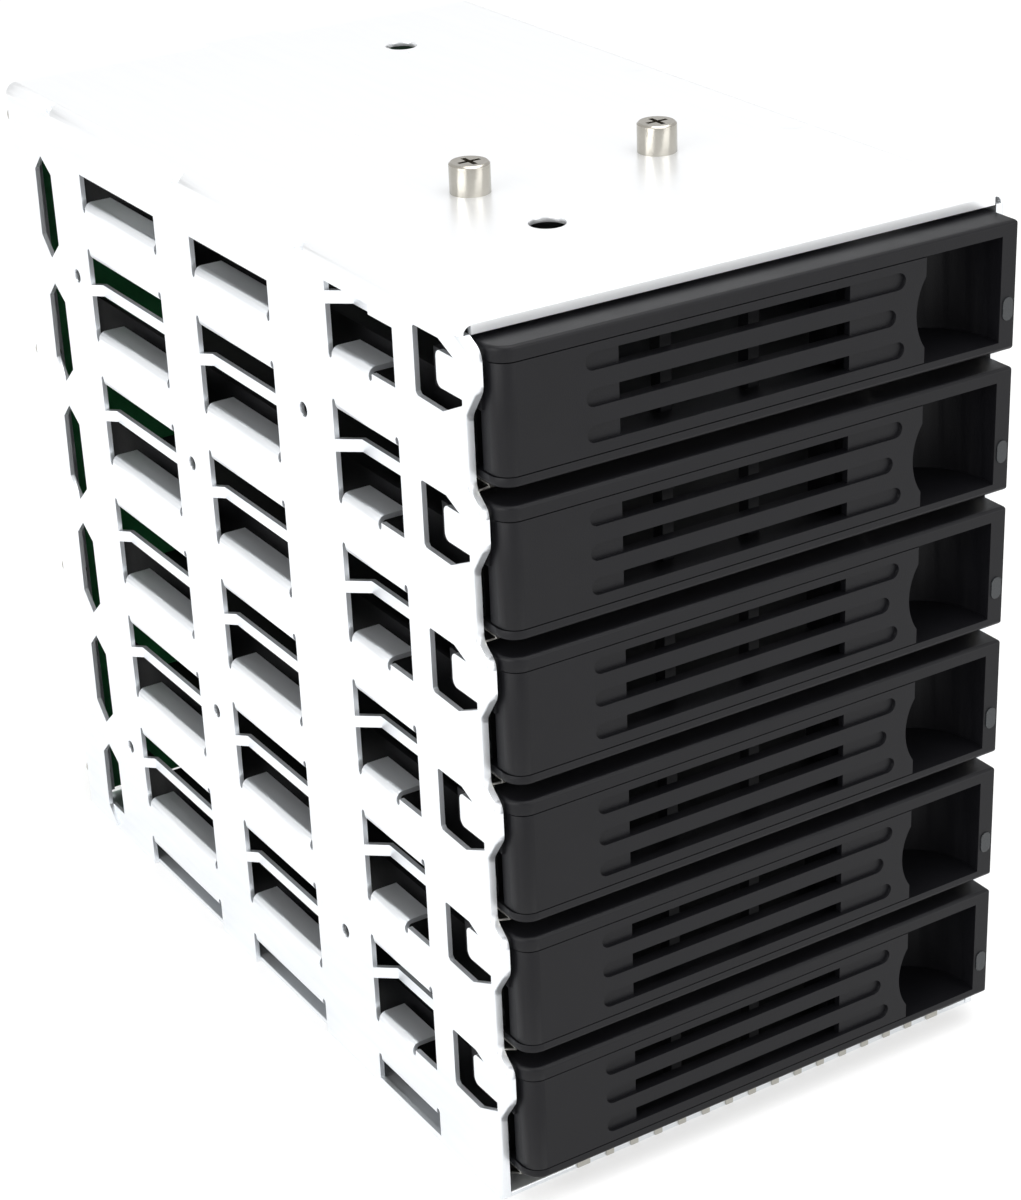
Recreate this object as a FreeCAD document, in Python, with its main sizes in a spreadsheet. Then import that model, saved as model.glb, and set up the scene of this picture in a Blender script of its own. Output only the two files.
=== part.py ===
import FreeCAD, Part
import math
import os

import Sketcher

# Six-bay hot swap drive cage. Millimetres. The origin is the middle of the
# cage's underside, +Z is up and the carriers pull out towards -Y.

os.makedirs("parts", exist_ok=True)
doc = FreeCAD.newDocument("drive_cage")
sheet = doc.addObject("Spreadsheet::Sheet", "sizes")

SIZES = [
    # cage
    ("cage_width", 119.6, "over both walls"),
    ("cage_depth", 192.6, "front edge of the walls to the board"),
    ("cage_height", 181.0, "underside to top plate"),
    ("sheet", 1.0, "steel thickness"),
    ("pitch", 29.0, "from one bay to the next"),
    ("bays", 6, "number of bays"),
    ("bay_mid", 164.65, "mid-height of the top bay's bezel"),
    # side walls, heights measured from a bay's mid-line
    ("lance_top", 6.45, "top of the slot over the wide strip"),
    ("lance_top_bay", 4.45, "the same in the top bay"),
    ("strip_top", -1.45, "upper bent edge of the wide strip"),
    ("strip_foot", -14.15, "lower bent edge of the wide strip"),
    ("thin_top", -20.05, "top of the thin strip"),
    ("thin_foot", -22.55, "underside of the thin strip"),
    ("bend", 1.6, "outer radius of the bends"),
    ("relief", 0.7, "how far the relief notches pass the bends"),
    ("relief_wide", 1.2, "width of the bend relief notches"),
    ("shelf_reach", 10.5, "shelf flange, from the wall's outer face"),
    ("brace_reach", 6.0, "upper flange, from the wall's outer face"),
    ("thin_inset", 2.0, "joggle of the thin strips"),
    ("thin_inset_front", 4.0, "joggle of the foremost thin strips"),
    ("col_rear_a", 119.9, "rear column of slots, front end"),
    ("col_rear_b", 156.1, "rear column of slots, rear end"),
    ("col_mid_a", 70.4, "middle column of slots, front end"),
    ("col_mid_b", 103.6, "middle column of slots, rear end"),
    ("col_front_a", 22.5, "front column of slots, front end"),
    ("col_front_b", 47.1, "front column of slots, rear end"),
    ("col_front_flange", 31.0, "front end of the front column's upper flange"),
    ("edge_recess", -0.5, "wall front edge between the noses"),
    ("edge_nose", -4.3, "wall front edge at the noses"),
    ("hem", 2.2, "thickness of the hemmed front edge"),
    ("hem_wide", 2.7, "width of the hem"),
    ("hem_round", 0.9, "rounding of the hem"),
    ("nose_round", 3.0, "rounding of the nose corners"),
    ("window_front", -0.7, "front edge of the latch windows"),
    ("window_rear", 15.2, "rear edge of the latch windows"),
    ("tab_inner", 2.4, "inner face of the hemmed latch tab"),
    ("tab_rear", 10.1, "rear end of the latch tab"),
    ("tab_low", 1.65, "lower edge of the latch tab"),
    ("tab_high", 8.55, "upper edge of the latch tab"),
    ("tab_round", 1.5, "corner rounding of the latch tab"),
    ("rear_flange", 6.0, "wall flange that carries the board"),
    ("top_flange", 8.0, "wall flange under the top plate"),
    ("rivet_hole", 1.5, "radius of the small side holes"),
    # top plate
    ("fold", 2.5, "outer radius of the folds along the top plate"),
    ("top_hole", 3.6, "radius of the round top holes"),
    ("front_lip", 2.6, "depth of the down-turned front lip"),
    ("stud_barrel", 4.0, "radius of the shoulder studs"),
    ("stud_neck", 2.6, "radius of the studs' riveted ends"),
    ("stud_height", 6.0, "stud height over the top plate"),
    # carrier front
    ("bezel_left", 3.0, "left side of the bezel, from the left wall's face"),
    ("bezel_right", 116.8, "right side of the bezel"),
    ("bezel_half", 12.85, "half the bezel height"),
    ("bezel_front", -7.3, "front plane"),
    ("bezel_back", 2.0, "back plane"),
    ("lip", 2.0, "thickness of the bezel's bottom lip"),
    ("lip_high", 2.8, "thickness of the bezel's top lip"),
    ("bezel_round", 4.0, "rounding of the bezel's left front edge, in plan"),
    ("web_front", -1.0, "front of the wall behind the lever"),
    ("channel_end", 17.5, "right end of the open channel at the hinge"),
    ("pocket_right", 113.3, "inner edge of the right rim"),
    # lever
    ("lever_left", 3.3, "left end of the lever"),
    ("lever_right", 95.2, "right end of the lever"),
    ("lever_round", 3.5, "rounding of the lever's left end, in plan"),
    ("scoop", 12.4, "radius of the finger scoop"),
    ("scoop_x", 105.5, "middle of the finger scoop"),
    ("scoop_z", -0.7, "middle of the finger scoop"),
    ("lever_gap", 0.2, "clearance between lever and lips"),
    ("lever_skin", 2.4, "thickness of the lever's front"),
    ("lever_rib", 1.6, "thickness of the lever's edge ribs"),
    ("hinge_x", 8.0, "lever pin, from the left wall's face"),
    ("hinge_y", -4.0, "lever pin, from the wall's front edge"),
    ("pin_radius", 1.0, "lever pin"),
    ("pin_play", 0.05, "radial clearance of the lever on its pin"),
    ("hub_radius", 2.9, "lever hub"),
    ("hook_left", 2.75, "outer face of the latch hook"),
    ("hook_thick", 2.3, "hook thickness"),
    ("hook_rear", 13.0, "rear end of the hook"),
    ("slot_left", 20.7, "left end of the grille recesses"),
    ("slot_right", 90.4, "right end of the outer grille recesses"),
    ("slot_right_mid", 88.3, "right end of the middle grille recess"),
    ("slot_half", 1.65, "half the height of a grille slot"),
    ("slot_step", 6.65, "from one grille slot to the next"),
    ("slot_depth", 0.8, "depth of the grille recesses"),
    ("vent_left", 28.0, "left end of the grille openings"),
    ("vent_right", 78.2, "right end of the grille openings"),
    # tray
    ("tray_sheet", 1.0, "tray steel thickness"),
    ("tray_lift", 0.3, "clearance between tray and shelf"),
    ("tray_half", 52.0, "half the tray width"),
    ("tray_rear", 182.0, "rear end of the tray"),
    ("tray_side", 13.0, "height of the tray's sides"),
    ("ear_out", 55.6, "half the width over the front ears"),
    ("ear_rear", 16.0, "rear end of the straight part of the ears"),
    ("ear_joggle", 20.0, "rear end of the ears' ramps"),
    ("ear_low", 6.0, "height of the right ear"),
    ("screw_y", 5.2, "ear screw, from the wall's front edge"),
    ("screw_z", 4.7, "ear screw, over the tray's underside"),
    ("screw_radius", 1.5, "ear screw thread"),
    ("screw_head", 2.6, "ear screw head"),
    ("screw_length", 5.0, "left ear screw"),
    ("screw_short", 3.0, "right ear screw, short of the finger pocket"),
    # light pipe
    ("pipe_x", 115.1, "lens middle, from the left wall's face"),
    ("pipe_z", -4.35, "lens middle, from the bay's mid-line"),
    ("lens_half_wide", 1.2, "half the lens width"),
    ("lens_half_tall", 2.3, "half the lens height"),
    ("rod", 1.8, "thickness of the light pipe"),
    ("pipe_rear", 187.0, "rear end of the light pipe"),
    # spring clip
    ("spring", 0.3, "spring sheet thickness"),
    ("spring_front", -2.5, "front of the spring clip"),
    ("spring_rear", 5.5, "rear of the spring clip"),
    ("finger_count", 8, "fingers on a spring clip"),
    ("finger_pitch", 14.0, "from one finger to the next"),
    # backplane
    ("board_thick", 1.6, "board thickness"),
    ("socket_x", 77.6, "drive socket middle, from the left wall's face"),
    ("socket_half", 21.5, "half the drive socket length"),
    ("socket_deep", 7.4, "drive socket depth"),
    ("board_screw", 1.5, "board screw thread radius"),
    ("board_head", 2.5, "board screw head radius"),
]


class Size:
    """A length together with the sheet expression that gives it."""

    def __init__(self, value, text):
        self.value = float(value)
        self.text = text

    @staticmethod
    def of(item):
        return item if isinstance(item, Size) else Size(item, f"({float(item):.4f})")

    def _join(self, sign, other, value):
        return Size(value, f"({self.text} {sign} {other.text})")

    def __add__(self, item):
        item = Size.of(item)
        return self._join("+", item, self.value + item.value)

    def __sub__(self, item):
        item = Size.of(item)
        return self._join("-", item, self.value - item.value)

    def __mul__(self, item):
        item = Size.of(item)
        return self._join("*", item, self.value * item.value)

    def __truediv__(self, item):
        item = Size.of(item)
        return self._join("/", item, self.value / item.value)

    def __radd__(self, item):
        return Size.of(item) + self

    def __rsub__(self, item):
        return Size.of(item) - self

    def __rmul__(self, item):
        return Size.of(item) * self

    def __neg__(self):
        return Size.of(0) - self


class Sizes:
    """The sheet's values by name."""


S = Sizes()
for row, (name, value, note) in enumerate(SIZES, 1):
    sheet.set(f"A{row}", name)
    sheet.set(f"B{row}", str(value))
    sheet.set(f"C{row}", note)
    sheet.setAlias(f"B{row}", name)
    setattr(S, name, Size(value, f"sizes.{name}"))
doc.recompute()

BAYS = int(S.bays.value)


def fx(value):
    """Distance from the left wall's outer face to the part's x."""
    return Size.of(value) - S.cage_width / 2


def fy(value):
    """Distance from the wall's front edge line to the part's y."""
    return Size.of(value) - S.cage_depth / 2


def bz(value):
    """Height from the top bay's mid-line to the part's z."""
    return S.bay_mid + value


# ------------------------------------------------------------------ helpers
PLANES = {"x": "YZ_Plane", "y": "XZ_Plane", "z": "XY_Plane"}


def new_body(label):
    body = doc.addObject("PartDesign::Body", label)
    body.Label = label
    return body


def origin_item(body, role):
    return next(f for f in body.Origin.OriginFeatures if f.Role == role)


def bind(item, path, size):
    """Tie a property to the sheet when the size comes from there."""
    if isinstance(size, Size):
        item.setExpression(path, size.text)


def profile(body, label, axis, at, loops):
    """A sketch across `axis` at `at`, fully dimensioned from the origin.

    A loop is a list of (a, b) corners, or ("circle", a, b, radius). A corner
    (a, b, ca, cb, turn) starts an arc round (ca, cb) to the next corner,
    anticlockwise for turn 1.
    """
    sketch = body.newObject("Sketcher::SketchObject", label)
    sketch.AttachmentSupport = [(origin_item(body, PLANES[axis]), "")]
    sketch.MapMode = "FlatFace"
    at = Size.of(at)
    sketch.AttachmentOffset = FreeCAD.Placement(
        FreeCAD.Vector(0, 0, at.value), FreeCAD.Rotation())
    bind(sketch, "AttachmentOffset.Base.z", at)
    ties, sizes = [], []

    def place(geo, point, a, b, both=True, along=True):
        if both or along:
            ties.append(Sketcher.Constraint("DistanceX", -1, 1, geo, point, a.value))
            sizes.append(a)
        if both or not along:
            ties.append(Sketcher.Constraint("DistanceY", -1, 1, geo, point, b.value))
            sizes.append(b)

    for loop in loops:
        if loop[0] == "circle":
            a, b, radius = (Size.of(v) for v in loop[1:])
            geo = sketch.addGeometry(Part.Circle(
                FreeCAD.Vector(a.value, b.value, 0), FreeCAD.Vector(0, 0, 1), radius.value))
            place(geo, 3, a, b)
            ties.append(Sketcher.Constraint("Radius", geo, radius.value))
            sizes.append(radius)
            continue
        ends = []
        for n, corner in enumerate(loop):
            here = [Size.of(v) for v in corner[:2]]
            there = [Size.of(v) for v in loop[(n + 1) % len(loop)][:2]]
            p = FreeCAD.Vector(here[0].value, here[1].value, 0)
            q = FreeCAD.Vector(there[0].value, there[1].value, 0)
            if len(corner) == 2:
                geo = sketch.addGeometry(Part.LineSegment(p, q))
                ends.append((geo, 1, 2))
                place(geo, 1, *here)
                continue
            ca, cb = (Size.of(v) for v in corner[2:4])
            centre = FreeCAD.Vector(ca.value, cb.value, 0)
            first, last = (p, q) if corner[4] > 0 else (q, p)
            start, stop = (math.atan2(v.y - centre.y, v.x - centre.x) for v in (first, last))
            if stop <= start:
                stop += 2 * math.pi
            circle = Part.Circle(centre, FreeCAD.Vector(0, 0, 1), (p - centre).Length)
            geo = sketch.addGeometry(Part.ArcOfCircle(circle, start, stop))
            ends.append((geo, 1, 2) if corner[4] > 0 else (geo, 2, 1))
            place(geo, ends[-1][1], *here)
            place(geo, 3, ca, cb, both=False, along=abs(p.x - q.x) < abs(p.y - q.y))
        for n, (geo, _, tail) in enumerate(ends):
            follow, head, _ = ends[(n + 1) % len(ends)]
            ties.append(Sketcher.Constraint("Coincident", geo, tail, follow, head))
            sizes.append(None)
    for index, size in zip(sketch.addConstraint(ties), sizes):
        if size is not None and "sizes." in size.text:
            sketch.setExpression(f"Constraints[{index}]", size.text)
    return sketch


def feature(body, kind, label, axis, low, high, loops):
    low, high = Size.of(low), Size.of(high)
    if kind == "Pad":
        at = -high if axis == "y" else low
    else:
        at = -low if axis == "y" else high
    sketch = profile(body, label + "_outline", axis, at, loops)
    item = body.newObject(f"PartDesign::{kind}", label)
    item.Profile = sketch
    length = high - low
    item.Length = length.value
    bind(item, "Length", length)
    if kind == "Pocket":
        item.Type = "Length"
    return item


def pad(body, label, axis, low, high, *loops):
    """Material between two stations on `axis`."""
    return feature(body, "Pad", label, axis, low, high, loops)


def cut(body, label, axis, low, high, *loops):
    """A pocket between two stations on `axis`."""
    return feature(body, "Pocket", label, axis, low, high, loops)


def repeat(body, label, originals, axis, step, count):
    """Copies of features along an axis; a negative step runs backwards."""
    item = body.newObject("PartDesign::LinearPattern", label)
    item.Originals = originals
    item.Direction = (origin_item(body, f"{axis}_Axis"), [""])
    item.Mode = "Spacing"
    step = Size.of(step)
    item.Reversed = step.value < 0
    step = step if step.value > 0 else -step
    item.Offset = step.value
    bind(item, "Offset", step)
    item.Occurrences = count
    body.Tip = item
    return item


def down_the_bays(body, label, originals, count=BAYS):
    return repeat(body, label, originals, "Z", -S.pitch, count)


def edges_where(shape, test):
    return [f"Edge{n}" for n, edge in enumerate(shape.Edges, 1) if test(edge)]


def dress(body, kind, label, size, test):
    """Fillet or chamfer the edges of the body's tip that pass a test."""
    doc.recompute()
    base = body.Tip
    names = edges_where(base.Shape, test)
    if not names:
        raise RuntimeError(f"{label}: no edges")
    item = body.newObject(f"PartDesign::{kind}", label)
    item.Base = (base, names)
    path = "Radius" if kind == "Fillet" else "Size"
    size = Size.of(size)
    setattr(item, path, size.value)
    bind(item, path, size)
    return item


def box(a0, a1, b0, b1):
    return [(a0, b0), (a1, b0), (a1, b1), (a0, b1)]


def obround(a0, a1, middle, radius):
    """A slot with round ends along the first axis."""
    a0, a1, middle, radius = (Size.of(v) for v in (a0, a1, middle, radius))
    return [(a0 + radius, middle - radius), (a1 - radius, middle - radius, a1 - radius, middle, 1),
            (a1 - radius, middle + radius), (a0 + radius, middle + radius, a0 + radius, middle, 1)]


def obround_tall(b0, b1, middle, radius):
    """A slot with round ends along the second axis."""
    b0, b1, middle, radius = (Size.of(v) for v in (b0, b1, middle, radius))
    return [(middle + radius, b0 + radius), (middle + radius, b1 - radius, middle, b1 - radius, 1),
            (middle - radius, b1 - radius), (middle - radius, b0 + radius, middle, b0 + radius, 1)]


# ---------------------------------------------------------------- side walls
COLUMNS = [(S.col_rear_a, S.col_rear_b), (S.col_mid_a, S.col_mid_b)]
FRONT_COLUMN = (S.col_front_a, S.col_front_b)
next_top = S.strip_top - S.pitch
wall_top = S.cage_height - S.fold


def wave(shift):
    """The wall's front edge from the top down, with a nose at every latch."""
    near, far = fy(S.edge_recess) + shift, fy(S.edge_nose) + shift
    points = []
    for bay in range(BAYS):
        mid = S.bay_mid - S.pitch * bay
        points += [(near, mid + 14.85), (far, mid + 11.85), (far, mid + 4.85),
                   (near, mid - 0.65)]
    return [(near, wall_top), *points[1:], (near, 0)]


def notch(side, end, way):
    """The end of a relief notch, with its corners broken; `way` is 1 upwards."""
    wide, r = S.relief_wide, S.relief_wide / 2
    near, far = (side, side + wide) if way < 0 else (side + wide, side)
    lean = S.relief_wide / 4 if way < 0 else -(S.relief_wide / 4)
    return [(near, end - r * way), (near + lean, end), (far - lean, end), (far, end - r * way)]


def column(front, rear, top, foot):
    """A lanced slot between two bent edges, with a relief notch at each corner."""
    front, rear, top, foot = fy(front), fy(rear), bz(top), bz(foot)
    wide = S.relief_wide
    low, high = top - S.bend, foot + S.bend
    return [*notch(front, low - S.relief, -1), (front + wide, low), (rear - wide, low),
            *notch(rear - wide, low - S.relief, -1), *notch(rear - wide, high + S.relief, 1),
            (rear - wide, high), (front + wide, high), *notch(front, high + S.relief, 1)]


def stepped(front, flange, rear, top):
    """The lower side of a front slot: plain in front, bent further back."""
    edge = (fy(front), bz(top) - 0.8)
    return [edge, (fy(flange), edge[1]), *column(flange, rear, top, top)[:10]]


def moved(points, rise):
    """An outline raised by a distance."""
    return [(a, b + rise) for a, b in points]


def joggled(front, rear, inset, ramp):
    """A strip of sheet pushed inwards between two ramps, seen from above."""
    out, inner = fx(0), fx(S.sheet)
    front, rear = fy(front), fy(rear)
    return [(out, front - 0.6), (out, front), (out + inset, front + ramp),
            (out + inset, rear - ramp), (out, rear), (out, rear + 0.6), (inner, rear + 0.6),
            (inner, rear + 0.4), (inner + inset, rear - ramp + 0.4),
            (inner + inset, front + ramp - 0.4), (inner, front - 0.4), (inner, front - 0.6)]


def angle(reach, edge, way):
    """A flange bent inwards from the wall, as (x, z); `way` is 1 upwards."""
    lean, inner = S.bend * way, S.bend - S.sheet
    knee = edge - lean
    return [(fx(0), knee - 0.3 * way), (fx(0), knee, fx(S.bend), knee, -way),
            (fx(S.bend), edge), (fx(reach), edge), (fx(reach), edge - S.sheet * way),
            (fx(S.bend), edge - S.sheet * way, fx(S.bend), knee, way),
            (fx(S.bend) - inner, knee), (fx(S.sheet), knee - 0.3 * way)]


def side_wall(label, latched):
    """The left wall; without its latches it's the right wall's mirror image.

    What repeats is modelled in the top bay first and patterned last.
    """
    wall = new_body(label)
    front_edge = wave(0) if latched else [(fy(S.edge_recess), wall_top), (fy(S.edge_recess), 0)]
    pad(wall, "panel", "x", fx(0), fx(S.sheet),
        [(fy(S.cage_depth), 0), (fy(S.cage_depth), wall_top), *front_edge])
    back = wave(S.hem_wide) if latched else [(a + S.hem_wide, b) for a, b in front_edge]
    pad(wall, "front_hem", "x", fx(S.sheet), fx(S.hem), front_edge + back[::-1])
    nearest = fy(S.edge_recess).value + 1
    if latched:
        dress(wall, "Fillet", "nose_corners", S.nose_round, lambda e: e.Length > S.hem.value - 0.1
              and abs(e.tangentAt(e.FirstParameter).x) > 0.999 and e.CenterOfMass.y < nearest
              and 1 < e.CenterOfMass.z < wall_top.value - 1)
    dress(wall, "Fillet", "hem_rounding", S.hem_round, lambda e: e.CenterOfMass.y < nearest
          and abs(e.CenterOfMass.x - fx(0).value) < 1e-3 and e.BoundBox.XLength < 1e-3
          and e.BoundBox.ZLength > 0.1)

    slots = cut(wall, "lanced_slots", "x", fx(0), fx(S.sheet),
                *[column(a, b, next_top, S.strip_foot) for a, b in COLUMNS],
                stepped(S.col_front_a, S.col_front_flange, S.col_front_b, next_top)
                + column(*FRONT_COLUMN, next_top, S.strip_foot)[10:])
    low = S.pitch * (BAYS - 1)
    cut(wall, "end_slots", "x", fx(0), fx(S.sheet),
        *[column(a, b, S.strip_top, S.strip_top)[:10] + [(fy(b), bz(S.lance_top_bay)),
                                                         (fy(a), bz(S.lance_top_bay))]
          for a, b in COLUMNS],
        moved(stepped(S.col_front_a, S.col_front_flange, S.col_front_b, next_top), S.pitch)
        + [(fy(S.col_front_b), bz(S.thin_foot + S.pitch) + 4.4),
           (fy(S.col_front_flange), bz(S.thin_foot + S.pitch) + 4.4),
           (fy(S.col_front_flange), bz(S.thin_top + S.pitch)),
           (fy(S.col_front_a), bz(S.thin_top + S.pitch))],
        *[[(fy(a), foot), (fy(b), foot),
           *moved(column(a, b, S.strip_foot, S.strip_foot)[10:], -low)]
          for a, b, foot in ((*COLUMNS[0], -1), (*COLUMNS[1], -1), (*FRONT_COLUMN, 1.5))],
        *[("circle", fy(a), b, S.rivet_hole) for a, b in RIVET_HOLES])
    windows = [CRESCENT]
    if latched:
        front, rear = fy(S.window_front), fy(S.window_rear)
        windows.append([(front, bz(S.tab_high)), (fy(6.5), bz(11.75)), (rear - 0.4, bz(11.75)),
                        (rear, bz(11.35)), (rear, bz(-0.6)), (rear - 0.6, bz(-1.2)),
                        (fy(6.0), bz(-1.45)), (front, bz(S.tab_low))])
    every_bay = [cut(wall, "windows", "x", fx(0), fx(S.sheet), *windows)]
    if latched:
        r, tab_end = S.tab_round, fy(S.tab_rear)
        tab_low, tab_high = bz(S.tab_low), bz(S.tab_high)
        every_bay.append(pad(
            wall, "latch_tab", "x", fx(S.tab_inner) - S.sheet, fx(S.tab_inner),
            [(front - 1, tab_low), (tab_end - r, tab_low, tab_end - r, tab_low + r, 1),
             (tab_end, tab_low + r), (tab_end, tab_high - r, tab_end - r, tab_high - r, 1),
             (tab_end - r, tab_high), (front - 1, tab_high)]))
        every_bay.append(pad(wall, "latch_tab_fold", "x", fx(0.5), fx(S.tab_inner) - 0.2,
                             box(front - 1, front + 0.6, tab_low, tab_high)))
    thin = pad(wall, "thin_strips", "z", bz(S.thin_foot), bz(S.thin_top),
               *[joggled(a, b, S.thin_inset, 1.9) for a, b in COLUMNS],
               joggled(*FRONT_COLUMN, S.thin_inset_front, 3.2))
    pad(wall, "top_thin_strip", "z", bz(S.thin_foot + S.pitch), bz(S.thin_top + S.pitch),
        joggled(*FRONT_COLUMN, S.thin_inset_front, 3.2))
    for a, b, start in (*[(a, b, a) for a, b in COLUMNS],
                        (*FRONT_COLUMN, S.col_front_flange)):
        place = f"at_{int(a.value)}"
        every_bay.append(pad(
            wall, f"shelf_{place}", "y", fy(a) + S.relief_wide, fy(b) - S.relief_wide,
            angle(S.shelf_reach, bz(S.strip_foot), -1)))
        every_bay.append(pad(
            wall, f"brace_{place}", "y", fy(start) + S.relief_wide, fy(b) - S.relief_wide,
            angle(S.brace_reach, bz(S.strip_top), 1)))
    pad(wall, "board_flange", "y", fy(S.cage_depth) - S.sheet, fy(S.cage_depth),
        box(fx(0.4), fx(S.rear_flange), 2, wall_top),
        *[("circle", fx(3.5), z, S.board_screw) for z in SCREW_ZS])
    lean = S.fold - S.sheet
    under = S.cage_height - S.sheet
    pad(wall, "top_flange_strip", "y", fy(6), fy(186),
        [(fx(S.sheet), wall_top - 2), (fx(S.sheet * 2), wall_top - 2),
         (fx(S.sheet * 2), wall_top, fx(S.fold), wall_top, -1), (fx(S.fold), under - S.sheet),
         (fx(S.top_flange), under - S.sheet), (fx(S.top_flange), under),
         (fx(S.fold), under, fx(S.fold), wall_top, 1), (fx(S.fold) - lean, wall_top)])
    down_the_bays(wall, "slots_all", [slots, thin], BAYS - 1)
    down_the_bays(wall, "windows_and_bends_all", every_bay)
    return wall


SCREW_ZS = (8, 63, 118, 173)
RIVET_HOLES = [(163.2, 144.7), (59.1, 146.7), (112.3, 117.8), (112.0, 59.9), (163.1, 28.5),
               (58.2, 31.7)]
CRESCENT = [(fy(176.8), bz(3.65)), (fy(172.1), bz(0.5)), (fy(172.0), bz(-15.3)),
            (fy(176.8), bz(-19.45)), (fy(181.0), bz(-15.0)), (fy(180.6), bz(0.0))]
wall = side_wall("left_wall", True)
plain = side_wall("plain_wall", False)
right = doc.addObject("Part::Mirroring", "right_wall")
right.Source = plain
right.Normal = FreeCAD.Vector(1, 0, 0)
right.Label = "right_wall"

# ----------------------------------------------------------- top and bottom
STUDS = [(39.6, 60.8), (82.7, 60.8)]
top = new_body("top_plate")
tongue = [(fx(69), fy(S.cage_depth)), (fx(69), fy(196.3)), (fx(50), fy(196.3)),
          (fx(50), fy(S.cage_depth))]
under = S.cage_height - S.sheet
knee_left, knee_right = fx(S.fold), fx(S.cage_width) - S.fold
pad(top, "plate", "y", fy(S.edge_recess), fy(S.cage_depth),
    [(fx(0), wall_top, knee_left, wall_top, -1), (knee_left, S.cage_height),
     (knee_right, S.cage_height, knee_right, wall_top, -1), (fx(S.cage_width), wall_top),
     (fx(S.cage_width) - S.sheet, wall_top, knee_right, wall_top, 1), (knee_right, under),
     (knee_left, under, knee_left, wall_top, 1), (fx(S.sheet), wall_top)])
pad(top, "tongue", "z", under, S.cage_height, tongue)
pad(top, "front_lip_strip", "y", fy(S.edge_recess), fy(S.edge_recess) + S.sheet,
    box(knee_left, knee_right, S.cage_height - S.front_lip, S.cage_height))
cut(top, "holes", "z", S.cage_height - S.sheet, S.cage_height,
    ("circle", fx(40.9), fy(35.7), S.top_hole), ("circle", fx(84.4), fy(165.1), S.top_hole),
    *[("circle", fx(a), fy(b), S.stud_neck) for a, b in STUDS])
cut(top, "fold_notches", "z", wall_top, S.cage_height,
    *[("circle", side, fy(b), 2.2) for b in (171.3, 108.5, 56.8)
      for side in (fx(0), fx(S.cage_width))])
dress(top, "Fillet", "front_roll", S.sheet * 0.8, lambda e: abs(
    e.CenterOfMass.y - fy(S.edge_recess).value) < 1e-3 and abs(
    e.CenterOfMass.z - S.cage_height.value) < 1e-3)

studs = new_body("shoulder_studs")
for a, b in STUDS:
    at = f"stud_{int(a)}"
    pad(studs, at + "_rivet", "z", S.cage_height - S.sheet, S.cage_height,
        ("circle", fx(a), fy(b), S.stud_neck))
    pad(studs, at + "_barrel", "z", S.cage_height, S.cage_height + S.stud_height,
        ("circle", fx(a), fy(b), S.stud_barrel))
dress(studs, "Chamfer", "barrel_edges", 0.4, lambda e: e.Curve.TypeId == "Part::GeomCircle" and abs(
    e.CenterOfMass.z - (S.cage_height + S.stud_height).value) < 1e-3)
for n, (a, b) in enumerate(STUDS):
    cut(studs, f"cross_{n}", "z", S.cage_height + S.stud_height - 1.4,
        S.cage_height + S.stud_height,
        [(fx(a - 2.4), fy(b - 0.5)), (fx(a - 0.5), fy(b - 0.5)), (fx(a - 0.5), fy(b - 2.4)),
         (fx(a + 0.5), fy(b - 2.4)), (fx(a + 0.5), fy(b - 0.5)), (fx(a + 2.4), fy(b - 0.5)),
         (fx(a + 2.4), fy(b + 0.5)), (fx(a + 0.5), fy(b + 0.5)), (fx(a + 0.5), fy(b + 2.4)),
         (fx(a - 0.5), fy(b + 2.4)), (fx(a - 0.5), fy(b + 0.5)), (fx(a - 2.4), fy(b + 0.5))])

bottom = new_body("bottom_plate")
hem_back = fy(S.edge_recess) + S.hem_wide
pad(bottom, "plate", "z", 0, S.sheet,
    [(fx(S.hem), fy(S.edge_recess)), (fx(S.cage_width) - S.hem, fy(S.edge_recess)),
     (fx(S.cage_width) - S.hem, hem_back), (fx(S.cage_width) - S.sheet, hem_back),
     (fx(S.cage_width) - S.sheet, fy(S.cage_depth)), (fx(S.sheet), fy(S.cage_depth)),
     (fx(S.sheet), hem_back), (fx(S.hem), hem_back)])
pad(bottom, "weld_flanges", "z", 0, 4.5,
    *[box(a, b, fy(c), fy(d)) for a, b in (
        (fx(S.sheet), fx(S.sheet * 2)),
        (fx(S.cage_width) - S.sheet * 2, fx(S.cage_width) - S.sheet))
      for c, d in ((4, 20), (50, 68), (106, 118), (159, 190))])

LIP_TOP = 3.0
pad(bottom, "front_lip_strip", "y", fy(S.edge_recess), fy(S.edge_recess) + S.sheet,
    box(fx(17), fx(110), 0, LIP_TOP))

fingers = new_body("bottom_finger_strip")
lip_front, lip_back = fy(S.edge_recess), fy(S.edge_recess) + S.sheet
pad(fingers, "strip", "z", S.sheet, S.sheet + 0.4, box(fx(17), fx(110), lip_back, fy(6)))
finger = [(lip_front - 0.4, 0.3), (lip_front, 0.3), (lip_front, LIP_TOP), (lip_back, LIP_TOP),
          (lip_back, S.sheet), (lip_back + 0.4, S.sheet), (lip_back + 0.4, LIP_TOP + 0.3),
          (lip_front - 0.4, LIP_TOP + 0.3)]
narrow = pad(fingers, "finger", "x", fx(24.4), fx(26.2), finger)
repeat(fingers, "finger_row", [narrow], "X", 5.85, 14)
pad(fingers, "left_end_finger", "x", fx(17.5), fx(20.5), finger)
pad(fingers, "right_end_finger", "x", fx(106.3), fx(109.3), finger)

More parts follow.
